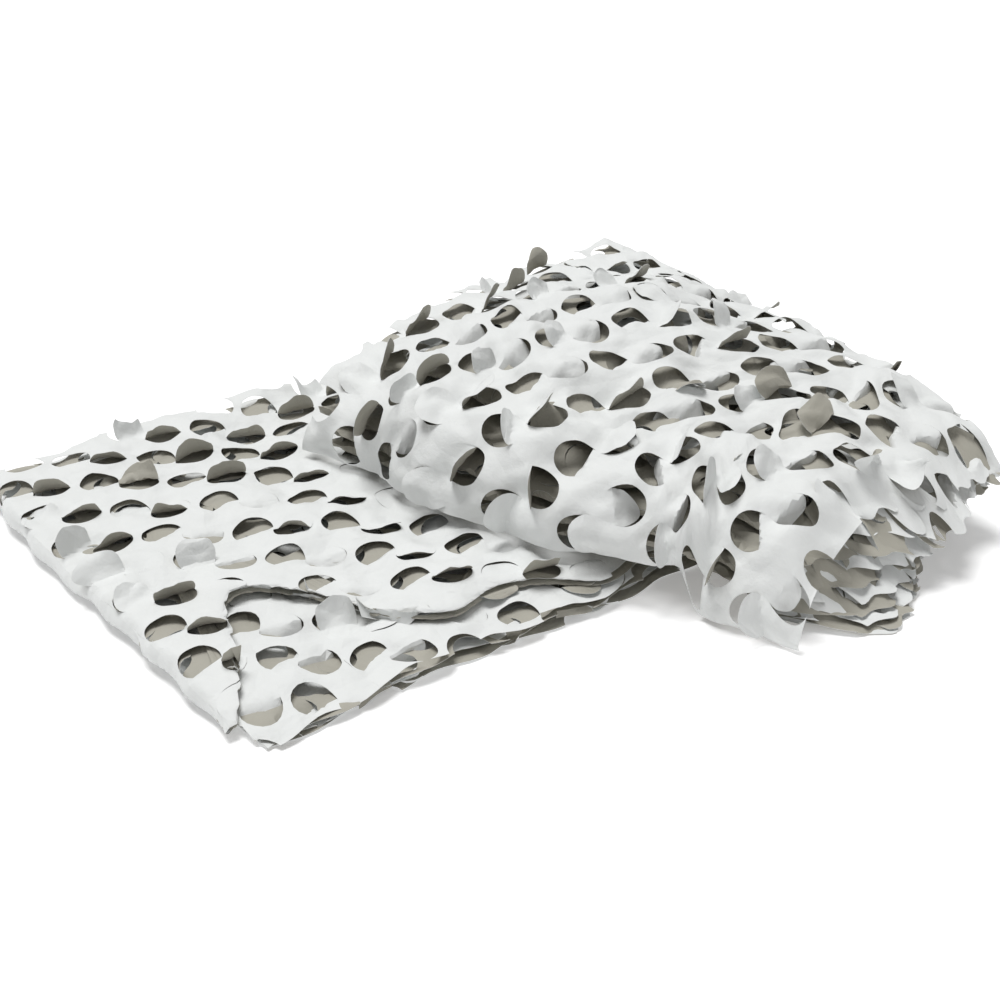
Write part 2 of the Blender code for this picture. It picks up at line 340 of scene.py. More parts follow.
def layer_rows(number, tuck):
    """One layer as rows of (x, y, z) across the strip, from its first fold to its second. With
    tuck at 1 its front edge is folded under wherever the edge lies back, with 0 it lies flat."""
    layer = LAYERS[number]
    before = LAYERS[number - 1] if number else START
    if layer.pack != before.pack:
        before = before._replace(out=0)
    left_fold, right_fold = (layer, before) if ends_left(number) else (before, layer)
    left_out = left_fold.out * MM if number != TOP_UPPER else -WRAP_REACH
    right_out = right_fold.out * MM
    along = np.linspace(0, 1, ROWS_PER_LAYER + 1)[:, None]
    from_left = 1 - along if ends_left(number) else along
    share = np.linspace(0, 1, COLUMNS)[None, :]
    across = rows_across(layer, left_fold, right_fold, from_left, share)
    flap = np.zeros_like(across)
    if number == TOP_UPPER:
        flap = FLAP_REACH * MM * edge_bow(from_left, FLAP_AT) * (1 - share) ** EDGE_FADE
        past = np.maximum(-FLAP_FROM - (across * STRIP_WIDTH - flap), 0)
        slope = FLAP_SLOPE * smooth_step(past / FLAP_BEND) * edge_bow(from_left, FLAP_AT) ** 0.5
        across = across + (past * (1 - np.cos(slope)) - flap) / STRIP_WIDTH
        flap = past * np.sin(slope)
    sides = (LOWER_LEFT, LOWER_RIGHT) if layer.pack == "lower" else (UPPER_LEFT, UPPER_RIGHT)
    left, right = (side_line(side, across) for side in sides)
    width = np.linalg.norm(right - left, axis=-1)
    place = -left_out / width * (1 - from_left) + (1 + right_out / width) * from_left
    plan = ruled_plan(sides, across, place)
    depth = bay_depth(layer, plan[..., 0])
    tucked = tuck * smooth_step(depth / TUCK_FROM)
    past = across * STRIP_WIDTH - depth
    bent = np.hypot(past, TUCK_ROUNDING)
    across = across + tucked * (bent - past) / STRIP_WIDTH
    plan = ruled_plan(sides, across, place)
    drop = flap + tucked * TUCK_DROP * (1 - past / bent) / 2
    height = layer_height(layer, plan[..., 0], plan[..., 1]) - drop
    return np.concatenate([plan, height[..., None]], axis=-1)


def outwards(fold, inner):
    """The plan direction square to a fold line, away from the row of points inside it."""
    line = np.gradient(fold[:, :2], axis=0)
    square = np.stack([line[:, 1], -line[:, 0], np.zeros(len(line))], axis=1)
    run = np.sum(square * (fold - inner), axis=1, keepdims=True)
    return unit(square * np.sign(run))


def turn_rows(first, second, out=None):
    """The rows between two layers' facing ends: half an ellipse that stands out by out."""
    start, end = first[-1], second[0]
    heading = unit(outwards(start, first[-2]) + outwards(end, second[1]))
    rise = np.abs(end[:, 2] - start[:, 2])[:, None] / 2
    reach = rise if out is None else np.maximum(np.minimum(rise, out), LOWER_PITCH / 2)
    angle = (math.pi * np.arange(1, ROWS_PER_TURN) / ROWS_PER_TURN - math.pi / 2)[:, None, None]
    return start + (end - start) * (1 + np.sin(angle)) / 2 + heading * reach * np.cos(angle)


def skin_rows(first, second):
    """The lower pack's left skin: its section's points in SKIN, out in millimetres from the fold
    line and down as a share of the way to the foot, joined by a smooth curve."""
    start, end = first[-1], second[0]
    heading = unit(outwards(start, first[-2]) + outwards(end, second[1]))
    at = np.arange(1, ROWS_PER_SKIN) / ROWS_PER_SKIN
    shares = [point.share for point in SKIN]
    out = curve_through(shares, [point.out * MM for point in SKIN], at)[:, None, None]
    fall = curve_through(shares, [point.fall for point in SKIN], at)[:, None, None]
    back = curve_through(shares, [point.rise for point in SKIN], at)[:, None, None]
    line = start + (end - start) * np.clip(back, 0, 1)
    slow, quick = (start[:, 1] * number for number in BULGE_WAVES)
    bulge = 1 + SKIN_BULGE * np.sin(slow) * np.sin(quick + 1)
    foot = np.minimum(SKIN_FOOT, start[:, 2:] * SKIN_FOOT_SHARE)
    down = np.array([0.0, 0.0, 1.0]) * (start[:, 2:] - foot)
    return line + heading * out * bulge[:, None] - down * fall


def wrap_rows(top):
    """The last layer's fall: a quarter ellipse down the pack's side, then a short hanging edge."""
    start = top[-1]
    heading = outwards(start, top[-2])
    down = np.array([0.0, 0.0, -1.0])
    in_front = smooth_step((LOWER_FRONT_END - start[:, 1]) / WRAP_STEP_DOWN)
    foot = LOWER_TOP * (1 - in_front) + WRAP_CLEARANCE
    drop = (start[:, 2] - foot - WRAP_HANG)[:, None]
    angle = (math.pi / 2 * np.arange(1, ROWS_PER_ROUNDING + 1) / ROWS_PER_ROUNDING)[:, None, None]
    fall = start + heading * WRAP_REACH * np.sin(angle) + down * drop * (1 - np.cos(angle))
    share = (np.arange(1, ROWS_PER_HANG + 1) / ROWS_PER_HANG)[:, None, None]
    return np.concatenate([fall, fall[-1] + down * WRAP_HANG * share])


def strip_rows(tuck):
    """The strip's middle surface as rows across it in its order, and each row's layer number. A
    turn's number lies half way between its layers' numbers."""
    layers = [layer_rows(number, tuck) for number in range(len(LAYERS))]
    parts, numbers = [], []
    for number, rows in enumerate(layers):
        if number:
            crossing = LAYERS[number].pack != LAYERS[number - 1].pack
            if number == TOP_LOWER + 1:
                turn = skin_rows(layers[number - 1], rows)
            else:
                turn = turn_rows(layers[number - 1], rows, BIG_TURN_OUT if crossing else None)
            parts.append(turn)
            numbers += [number - 0.5] * len(turn)
        parts.append(rows)
        numbers += [number] * len(rows)
    fall = wrap_rows(layers[-1])
    parts.append(fall)
    numbers += [TOP_UPPER + 0.5] * len(fall)
    return np.concatenate(parts), np.array(numbers, float)


# The cloth is never quite flat: slow waves, more towards a pack's top, and the upper pack's raw
# front edges droop
WAVE_COUNT = 18
WAVE_LENGTHS = (0.09, 0.30)
LOWER_WAVE = 0.0040
UPPER_WAVE = 0.0042
WAVE_SEED = 41
EDGE_DROOP = 0.022
DROOP_REACH = 0.040
DROOP_SHARE = 0.6
TOP_STAND_OUT = 0.013
UPPER_TOP = 0.19

# How open the leaves lie in each kind of place, from 0 for flush, and their room up and down
Lie = namedtuple("Lie", "open room_up room_down")
PRESSED = Lie(0.08, 0.002, 0.002)
IN_SKIN = Lie(0.46, 0.004, 0.010)
AT_RAW_END = Lie(1.00, 0.006, 0.026)
IN_TURN = Lie(0.15, 0.003, 0.003)
ON_TOP = Lie(1.00, 0.040, 0.024)
IN_SECOND = Lie(0.95, 0.003, 0.012)
BY_EDGE = Lie(1.00, 0.005, 0.024)
IN_THIRD = Lie(0.80, 0.003, 0.009)
INSIDE = Lie(0.30, 0.002, 0.004)
LEAST_ROOM_UP = 0.006
FLOOR_ROOM = 0.001
SKIN_QUIET = 0.018
COVER_EDGE = 0.005
EDGE_WIDTH = 0.0325
BAY_MARGIN = 0.010
RAW_END_FROM = 0.60

# The lower pack's top lies quieter round one place, where the photograph shows it crumpled flat
CALM_MIDDLE = (0.25, 0.23)
CALM_REACH = 0.13
CALM_SHARE = 0.60

# How much of the cloth's sinking and creasing each kind of place takes
LEAST_SLACK = 0.1
LOWER_TOP_SLACK = 0.85
UPPER_TOP_SLACK = 1.35
INNER_SLACK = 0.35
TUCK_SLACK = 0.15


def plane_waves(x, y, count, lengths, seed):
    """A sum of waves in all directions over (x, y), with a spread of 1."""
    random = np.random.default_rng(seed)
    total = np.zeros_like(x)
    for _ in range(count):
        heading, phase = random.uniform(0, 2 * math.pi, 2)
        number = 2 * math.pi / random.uniform(*lengths)
        total += np.sin(number * (x * math.cos(heading) + y * math.sin(heading)) + phase)
    return total / math.sqrt(count / 2)


def lay_the_strip():
    """The strip's surface on an even grid of cloth lengths: place, how open it lies, its layer,
    its leaves' room up and down, and how much slack it has to sink and crease.

    Along the lower pack, the top layer and its fall the cloth length is the true one on every
    column. The layers inside the upper pack share out what is left, so that both ends are
    straight. How open a place lies is 1 where nothing covers it and less between layers.
    """
    rows, numbers = strip_rows(1)
    steps = np.linalg.norm(np.diff(strip_rows(0)[0], axis=0), axis=-1)
    true_length = (numbers[1:] <= LAST_LOWER + 0.5) | (numbers[1:] >= TOP_UPPER)
    true_length &= ~((numbers[1:] == TOP_UPPER) & (numbers[:-1] < TOP_UPPER))
    even = steps.mean(axis=1, keepdims=True) * np.ones(COLUMNS)
    kept = np.where(true_length[:, None], steps, 0)
    spread = np.where(true_length[:, None], 0, even)
    total = steps.sum(axis=0).mean()
    spread *= (total - kept.sum(axis=0)) / spread.sum(axis=0)
    along = np.concatenate([np.zeros((1, COLUMNS)), np.cumsum(kept + spread, axis=0)])

    x, y, z = np.moveaxis(rows, -1, 0)
    number = numbers[:, None] * np.ones(COLUMNS)
    lower = number < LAST_LOWER + 0.5
    level_share = np.where(lower, z / LOWER_TOP, z / UPPER_TOP)
    height = np.where(lower, LOWER_WAVE, UPPER_WAVE) * np.clip(level_share, 0, 1)
    waves = plane_waves(x, y, WAVE_COUNT, WAVE_LENGTHS, WAVE_SEED)
    places = np.linspace(0, 1, COLUMNS)
    left_of_upper = np.interp(y, [p.y for p in UPPER_LEFT], [p.x for p in UPPER_LEFT])
    back_corners = UPPER_LEFT[-1], UPPER_RIGHT[-1]
    back_of_upper = np.interp(x, [p.x for p in back_corners], [p.y for p in back_corners])
    covered = (x > left_of_upper - COVER_EDGE) & (y > UPPER_LEFT[0].y)
    covered &= y < back_of_upper + COVER_EDGE
    by_edge = np.minimum(places, 1 - places)[None, :] * STRIP_WIDTH + 0 * x < EDGE_WIDTH
    bay = curve_through([p.x for p in FRONT_BAY], [p.depth for p in FRONT_BAY], x)
    in_bay = (number <= LAST_LOWER) & (number >= 2) & (y < bay + BAY_MARGIN)
    over = (number < 0.5) & covered
    top = (number >= TOP_UPPER) | ((number <= 0.5) & ~over) | (in_bay & (number == 2))
    second = (np.abs(number - TOP_UPPER + 1) <= 0.5) | (np.abs(number - 1) <= 0.5)
    second |= in_bay & (number == 3)
    in_skin = number == TOP_LOWER + 0.5
    at_foot = in_skin & (z < SKIN_QUIET)
    tucked = (number <= 1) & (places[None, :] * STRIP_WIDTH < bay - TUCK_ROUNDING)
    raw_end = by_edge & (number > LAST_LOWER + 1) & (x > RAW_END_FROM) & ~top
    in_turn = (number % 1 != 0) & ~top
    kinds = (
        (tucked | at_foot, PRESSED),
        (in_skin, IN_SKIN),
        (raw_end, AT_RAW_END),
        (in_turn, IN_TURN),
        (top, ON_TOP),
        (second, IN_SECOND),
        (by_edge, BY_EDGE),
        (number == TOP_UPPER - 2, IN_THIRD),
    )
    masks, lies = zip(*kinds)
    lies_open, room_up, room_down = (
        np.select(masks, values, inside) for values, inside in zip(zip(*lies), INSIDE)
    )
    from_calm = np.hypot(x - CALM_MIDDLE[0], y - CALM_MIDDLE[1]) / CALM_REACH
    calm = np.where((number <= 0.5) & top, CALM_SHARE * np.exp(-(from_calm**2)), 0)
    lies_open = lies_open * (1 - calm)
    full_height = LOWER_PITCH * np.maximum(LAST_LOWER - number, 1)
    height_share = np.clip((z - GROUND_LAYER_HEIGHT) / full_height, LEAST_SLACK, 1)
    slack = np.where(lower, height_share, 1)
    room_up = np.where(top, room_up, room_up * slack)
    slack = slack * np.where(top | in_skin, LOWER_TOP_SLACK, INNER_SLACK)
    slack = np.where(number >= TOP_UPPER, UPPER_TOP_SLACK, slack)
    over_tuck = (number <= 1) & (bay > TUCK_FROM) & (y < 2 * bay + BAY_MARGIN)
    slack = np.where(over_tuck, np.minimum(slack, INNER_SLACK), slack)
    slack = np.where(tucked, TUCK_SLACK, slack)
    room_left = np.maximum(cad_box[1][2] + TOP_STAND_OUT - z, LEAST_ROOM_UP)
    room_up = np.minimum(room_up, room_left)
    room_down = np.minimum(room_down, np.maximum(z - FLOOR_ROOM, FLOOR_ROOM))

    droop = EDGE_DROOP * (1 - smooth_step(places[None, :] * STRIP_WIDTH / DROOP_REACH))
    droop = np.where(lower, 0, np.minimum(droop, DROOP_SHARE * np.maximum(z - FLOOR_ROOM, 0)))
    z = z + waves * height - droop

    grid_along = np.linspace(0, total, int(round(total / LAY_STEP)) + 1)
    channels = np.stack([x, y, z, lies_open, number, room_up, room_down, slack], axis=-1)
    lay = np.empty((len(grid_along), COLUMNS, channels.shape[-1]))
    for column in range(COLUMNS):
        for channel in range(channels.shape[-1]):
            lay[:, column, channel] = np.interp(
                grid_along, along[:, column], channels[:, column, channel]
            )
    lay[..., 0] -= MIDDLE[0]
    lay[..., 1] -= MIDDLE[1]
    return lay, total


lay, STRIP_LENGTH = lay_the_strip()
grid_step = STRIP_LENGTH / (len(lay) - 1), STRIP_WIDTH / (COLUMNS - 1)
slope_along = np.gradient(lay[..., :3], grid_step[0], axis=0)
slope_across = np.gradient(lay[..., :3], grid_step[1], axis=1)
white_way = unit(np.cross(slope_across, slope_along))
surface = np.concatenate(
    [lay[..., :3], slope_along, slope_across, white_way, lay[..., 3:]], axis=-1
)

# The surface's channels
PLACE, ALONG, ACROSS, WHITE_WAY = slice(0, 3), slice(3, 6), slice(6, 9), slice(9, 12)
WHITE_UP = 11
LIES_OPEN, NUMBER, ROOM_UP, ROOM_DOWN, SLACK = range(12, 17)
INTO_LAST = 1.000001


def surface_at(along, across):
    """The surface's channels between its grid points, carried on straight past its four edges."""
    place = np.clip(along / grid_step[0], 0, len(surface) - INTO_LAST)
    side = np.clip(across / grid_step[1], 0, COLUMNS - INTO_LAST)
    row, column = place.astype(int), side.astype(int)
    p, s = (place - row)[..., None], (side - column)[..., None]
    found = (
        surface[row, column] * (1 - p) * (1 - s)
        + surface[row + 1, column] * p * (1 - s)
        + surface[row, column + 1] * (1 - p) * s
        + surface[row + 1, column + 1] * p * s
    )
    past_along = (along - place * grid_step[0])[..., None]
    past_across = (across - side * grid_step[1])[..., None]
    found[..., PLACE] += found[..., ALONG] * past_along + found[..., ACROSS] * past_across
    return found


# ------------------------------------------------------------------------- The leaf cuts
# Each leaf cut is one slit through two touching circles, like an S. It frees two round leaves,
# each held at a neck. The cuts stand in columns across the strip, tilted, and each column is
# moved two thirds of a pitch from the one before.

BAND = 0.237
BANDS = int(round(STRIP_LENGTH / BAND))
BAND_LENGTH = STRIP_LENGTH / BANDS
BAND_COLUMNS = 3
COLUMN_PITCH = BAND_LENGTH / BAND_COLUMNS
CUT_PITCH = 0.071
FIRST_CUT = 0.009
CUT_ROWS = range(-1, 10)
LEAF_RADIUS = 0.021
ARC_SPAN = math.radians(264)
CUT_TILT = math.radians(35)
ROUND_WAY = np.array([math.cos(CUT_TILT), math.sin(CUT_TILT)])
SQUARE_WAY = np.array([-ROUND_WAY[1], ROUND_WAY[0]])
CUT_AXES = np.stack([ROUND_WAY, SQUARE_WAY])
NECK_END = LEAF_RADIUS * np.array([1 - math.cos(ARC_SPAN), math.sin(ARC_SPAN)]) @ CUT_AXES
NECK_WIDTH = float(np.linalg.norm(NECK_END))
NECK_WAY = NECK_END / NECK_WIDTH
TIP_WAY = np.array([-NECK_WAY[1], NECK_WAY[0]])
LEAF_LENGTH = LEAF_RADIUS * float(1 + TIP_WAY @ ROUND_WAY)
TILE_SEED = 7

# Tolerances, in metres, and the tile's spacings as shares of its triangles' size
NEAR_ZERO = 1e-9
SAME_POINT = 1e-7
ON_ARC = 1e-6
CROWDED = 0.35
CLEAR_OF_CUT = 0.62
CLEAR_OF_EDGE = 0.45
SCATTER = 0.14


def cut_centre(column, row):
    """The middle of the cut in this column and row, in cloth metres along and across."""
    shift = (2 * column % BAND_COLUMNS) / BAND_COLUMNS
    across = FIRST_CUT + (row + shift) * CUT_PITCH
    return np.stack([(column + 0.5) * COLUMN_PITCH, across], axis=-1)


def round_reach(local, which):
    """How far a place by a cut is from the middle of the first (1) or second (2) circle."""
    turned = LEAF_RADIUS * ROUND_WAY * (1 if which == 1 else -1)
    return np.linalg.norm(local - turned, axis=-1)


def cut_line(spacing):
    """One slit as points: round one circle from its neck to the middle, then round the other."""
    count = int(round(ARC_SPAN * LEAF_RADIUS / spacing))
    angle = ARC_SPAN * np.linspace(1, 0, count + 1)[:, None]
    arc = LEAF_RADIUS * np.concatenate([1 - np.cos(angle), np.sin(angle)], axis=1)
    return np.concatenate([arc, -arc[-2::-1]]) @ CUT_AXES


def crossings_added(points):
    """The line with a point added wherever it crosses one of the strip's two edges."""
    for edge in (0.0, STRIP_WIDTH):
        past = points[:, 1] - edge
        flips = np.nonzero(past[:-1] * past[1:] < 0)[0]
        share = (past[flips] / (past[flips] - past[flips + 1]))[:, None]
        new = points[flips] + share * (points[flips + 1] - points[flips])
        new[:, 1] = edge
        points = np.insert(points, flips + 1, new, axis=0)
    return points


def lengths_along(points):
    """How far each point of a line is from its start, along it."""
    return np.cumsum(np.r_[0, np.linalg.norm(np.diff(points, axis=0), axis=1)])


def leaf_side(local, near_middle, first_arc):
    """Which side of the slit a place by it is on: 1 is the first leaf's side, 2 the second's."""
    by_first = np.where(round_reach(local, 1) < LEAF_RADIUS, 1, 2)
    by_second = np.where(round_reach(local, 2) < LEAF_RADIUS, 2, 1)
    by_height = np.where(local @ SQUARE_WAY > 0, by_first, by_second)
    return np.where(near_middle, by_height, np.where(first_arc, by_first, by_second))


Tile = namedtuple("Tile", "points faces side column row leaf")


def leaf_cut_tile(spacing, cut_spacing):
    """A length of the strip, three columns of cuts long, as flat triangles opened at the slits.

    Each point has its slit side (0 away from any slit), the column and row of its nearest cut
    and its leaf: 1, 2 or 0 for the web between.
    """
    random = np.random.default_rng(TILE_SEED)
    line = cut_line(cut_spacing)
    middle = len(line) // 2
    quarter = int(round(math.pi / 2 / ARC_SPAN * middle))
    points, cut_of, tip, near, first, links = [], [], [], [], [], []
    cuts = []
    for column in range(BAND_COLUMNS):
        for row in CUT_ROWS:
            centre = cut_centre(column, row)
            whole = line + centre
            if whole[:, 1].max() < 0 or whole[:, 1].min() > STRIP_WIDTH:
                continue
            traced = crossings_added(whole)
            apart = np.abs(traced[:, None] - whole[None]).sum(axis=-1)
            is_new = ~(apart < NEAR_ZERO).any(axis=1)
            inside = np.abs(traced[:, 1] - STRIP_WIDTH / 2) <= STRIP_WIDTH / 2 + NEAR_ZERO
            gap = np.linalg.norm(traced[:, None] - traced[None, is_new], axis=-1)
            crowded = (gap < CROWDED * cut_spacing).any(axis=1) & ~is_new
            order = np.searchsorted(lengths_along(whole), lengths_along(traced) - SAME_POINT)
            end = (np.arange(len(traced)) == 0) | (np.arange(len(traced)) == len(traced) - 1)
            kept = inside & ~crowded
            runs = np.nonzero(kept)[0]
            start = sum(len(part) for part in points)
            numbers = start + np.arange(len(runs))
            joined = np.diff(np.cumsum(~inside)[runs]) == 0
            links.append(np.stack([numbers[:-1], numbers[1:]], axis=1)[joined])
            points.append(traced[runs])
            cut_of.append(np.full(len(runs), len(cuts)))
            tip.append(end[runs])
            near.append(np.abs(order[runs] - middle) <= quarter)
            first.append(order[runs] <= middle)
            cuts.append((column, row, *centre))
    points, cut_of, tip = np.concatenate(points), np.concatenate(cut_of), np.concatenate(tip)
    near, first, links = np.concatenate(near), np.concatenate(first), np.concatenate(links)
    cuts = np.array(cuts)
    cut_points = len(points)

    def clear_of_cuts(places, clearance):
        """Those places that lie further than clearance from every cut point."""
        gap = np.linalg.norm(places[:, None] - points[None, :cut_points], axis=-1)
        return places[gap.min(axis=1) > clearance]

    up = np.linspace(0, STRIP_WIDTH, int(round(STRIP_WIDTH / spacing)) + 1)
    over = np.linspace(0, BAND_LENGTH, int(round(BAND_LENGTH / spacing)) + 1)[1:-1]
    ends = np.concatenate([np.stack([np.full_like(up, end), up], 1) for end in (0.0, BAND_LENGTH)])
    rims = np.concatenate(
        [np.stack([over, np.full_like(over, side)], axis=1) for side in (0.0, STRIP_WIDTH)]
    )
    columns = int(round(BAND_LENGTH / spacing))
    rows = int(round(STRIP_WIDTH / (spacing * math.sqrt(3) / 2)))
    across, down = np.meshgrid(np.arange(columns), np.arange(1, rows))
    fill = np.stack(
        [
            (across + 0.5 + 0.5 * (down % 2)) * BAND_LENGTH / columns,
            down * STRIP_WIDTH / rows,
        ],
        axis=-1,
    ).reshape(-1, 2)
    fill += random.uniform(-SCATTER, SCATTER, fill.shape) * spacing
    margin = CLEAR_OF_EDGE * spacing
    fill = fill[
        (fill[:, 0] > margin)
        & (fill[:, 0] < BAND_LENGTH - margin)
        & (fill[:, 1] > margin)
        & (fill[:, 1] < STRIP_WIDTH - margin)
    ]
    rims = clear_of_cuts(rims, CROWDED * cut_spacing)
    everything = np.concatenate([points, ends, rims, clear_of_cuts(fill, CLEAR_OF_CUT * spacing)])
    made = delaunay_2d_cdt(
        [Vector(place) for place in everything.tolist()], links.tolist(), [], 0, SAME_POINT
    )
    flat = np.array([tuple(place) for place in made[0]])
    came_from = np.array([source[0] if source else -1 for source in made[3]])
    faces = np.array(made[2])
    came_from = np.where(came_from < cut_points, came_from, -1)

    # Open the slits: a slit point gets one copy for each side that has faces
    corners = faces.ravel()
    source = came_from[corners]
    centroid = np.repeat(flat[faces].mean(axis=1), 3, axis=0)
    on_slit = (source >= 0) & ~tip[source]
    cut = cut_of[source]
    side = leaf_side(centroid - cuts[cut, 2:], near[source], first[source])
    side = np.where(on_slit, side, 0)
    kinds, corner_point = np.unique(corners * 3 + side, return_inverse=True)
    flat = flat[kinds // 3]
    point_side = kinds % 3
    source = came_from[kinds // 3]
    gap = np.linalg.norm(flat[:, None] - cuts[None, :, 2:], axis=-1)
    owner = np.where((source >= 0), cut_of[source], -1)

    # The leaf that a point belongs to: inside a circle and past its neck
    leaf = np.zeros(len(flat), int)
    leaf_cut = gap.argmin(axis=1)
    for which, sign in ((1, 1.0), (2, -1.0)):
        local = (flat[:, None] - cuts[None, :, 2:]) * sign
        within = (round_reach(local, 1) < LEAF_RADIUS + ON_ARC) & (local @ TIP_WAY > NEAR_ZERO)
        loose_point = (owner < 0) & within.any(axis=1)
        leaf = np.where(loose_point, which, leaf)
        leaf_cut = np.where(loose_point, within.argmax(axis=1), leaf_cut)
        own = (owner >= 0) & (point_side == which) & within[np.arange(len(flat)), owner]
        leaf = np.where(own, which, leaf)
        leaf_cut = np.where(own, owner, leaf_cut)
    leaf_cut = np.where((owner >= 0) & (leaf == 0), owner, leaf_cut)
    column, row = cuts[leaf_cut, 0].astype(int), cuts[leaf_cut, 1].astype(int)
    return Tile(flat, corner_point.reshape(-1, 3), point_side, column, row, leaf)


FINE_TILE = leaf_cut_tile(spacing=0.0047, cut_spacing=0.0044)
COARSE_TILE = leaf_cut_tile(spacing=0.0085, cut_spacing=0.0070)

# How the leaves stand: the share of leaves of a kind and how far they turn up, in degrees. The
# far leaf's tip points away from the lower pack's front left corner, and the near leaf's to it.
# By the strip's back edge and on the fall, lifted_draw is what picks the kind.
LeafKind = namedtuple("LeafKind", "share least most")
Leaves = namedtuple("Leaves", "far near near_twist lifted_draw")
UPPER_LEAVES = Leaves(
    far=(
        LeafKind(0.61, -105, -50),
        LeafKind(0.14, -45, -20),
        LeafKind(0.05, -10, 8),
        LeafKind(0.17, 25, 80),
        LeafKind(0.03, 150, 180),
    ),
    near=(
        LeafKind(0.64, -78, -32),
        LeafKind(0.08, -110, -80),
        LeafKind(0.04, -10, 8),
        LeafKind(0.20, 30, 85),
        LeafKind(0.04, 140, 175),
    ),
    near_twist=math.radians(-10),
    lifted_draw=0.85,
)
LOWER_LEAVES = Leaves(
    far=(LeafKind(0.62, -110, -45), LeafKind(0.13, -30, -12), LeafKind(0.25, 25, 75)),
    near=(
        LeafKind(0.26, -78, -32),
        LeafKind(0.08, -12, 10),
        LeafKind(0.60, 50, 88),
        LeafKind(0.06, 130, 170),
    ),
    near_twist=math.radians(-34),
    lifted_draw=0.50,
)
LEAF_SEED = 23
FALL_LIFTED = 0.55
FALL_FROM = TOP_UPPER + 0.25
BACK_ROW = 0.085
TURNED_OVER = -0.3
FLUSH_UNDER = 0.1
FLUSH_FADE = 0.5
BEND_LENGTH = 0.0038
BEND_OFFSET = 0.002
BEND_STEPS = 12
LEAF_CURL = math.radians(60)
LEAF_TWIST = math.radians(20)
CUPPING = 14.0
HOLLOW_GROWTH = 1.6
FOLD_SLOPE = 0.62
FOLD_MIDDLE = 0.008
FOLDED_SHARE = 0.34
LEAF_CREASE = 0.0021
CREASE_GROWTH = 2.5
LEAF_CREASE_LENGTHS = (0.017, 0.036)
LEAF_CREASE_COUNT = 3
LIP_HEIGHT = (-0.0010, 0.0016)
LIP_REACH = 0.007
LIP_OUTSIDE = 1e-4
LIP_FULL_FROM = 1.5
SINK_DEPTH = 0.0058
SINK_REACH = 0.016
CRINKLE = 0.0004
CRINKLE_COUNT = 16
CRINKLE_LENGTHS = (0.018, 0.060)
CREASE = 0.0027
CREASE_LENGTHS = (0.036, 0.110)
CREASE_COUNT = 7
CREASE_WANDER = 0.10

# Each leaf's own random numbers from 0 to 1
LeafDraws = namedtuple("LeafDraws", "kind turn twist bend hollow fold curl folded")
LIP_DRAW = LeafDraws._fields.index("fold")
leaf_random = np.random.default_rng(LEAF_SEED)
LEAF_DRAWS = leaf_random.random(
    (BAND_COLUMNS * BANDS, len(CUT_ROWS), 3, len(LeafDraws._fields))
)


def crease_waves(x, y, count, lengths, seed):
    """A sum of zigzags in all directions over (x, y): flat facets that meet in sharp creases."""
    random = np.random.default_rng(seed)
    wander = plane_waves(x, y, count, lengths, seed + 1) * CREASE_WANDER
    total = np.zeros_like(x)
    for _ in range(count):
        heading, phase = random.uniform(0, 2 * math.pi, 2)
        turns = (x * math.cos(heading) + y * math.sin(heading)) / random.uniform(*lengths)
        total += np.abs((turns + wander + phase) % 1.0 - 0.5) * 4 - 1
    return total / math.sqrt(count)


def leaf_turn(draw, spread, kinds):
    """The turn of a leaf in radians: draw picks the kind, and spread the place in it."""
    edges = np.cumsum([kind.share for kind in kinds])
    which = np.minimum(np.searchsorted(edges / edges[-1], draw), len(kinds) - 1)
    least = np.array([kind.least for kind in kinds])[which]
    most = np.array([kind.most for kind in kinds])[which]
    return np.radians(least + (most - least) * spread)


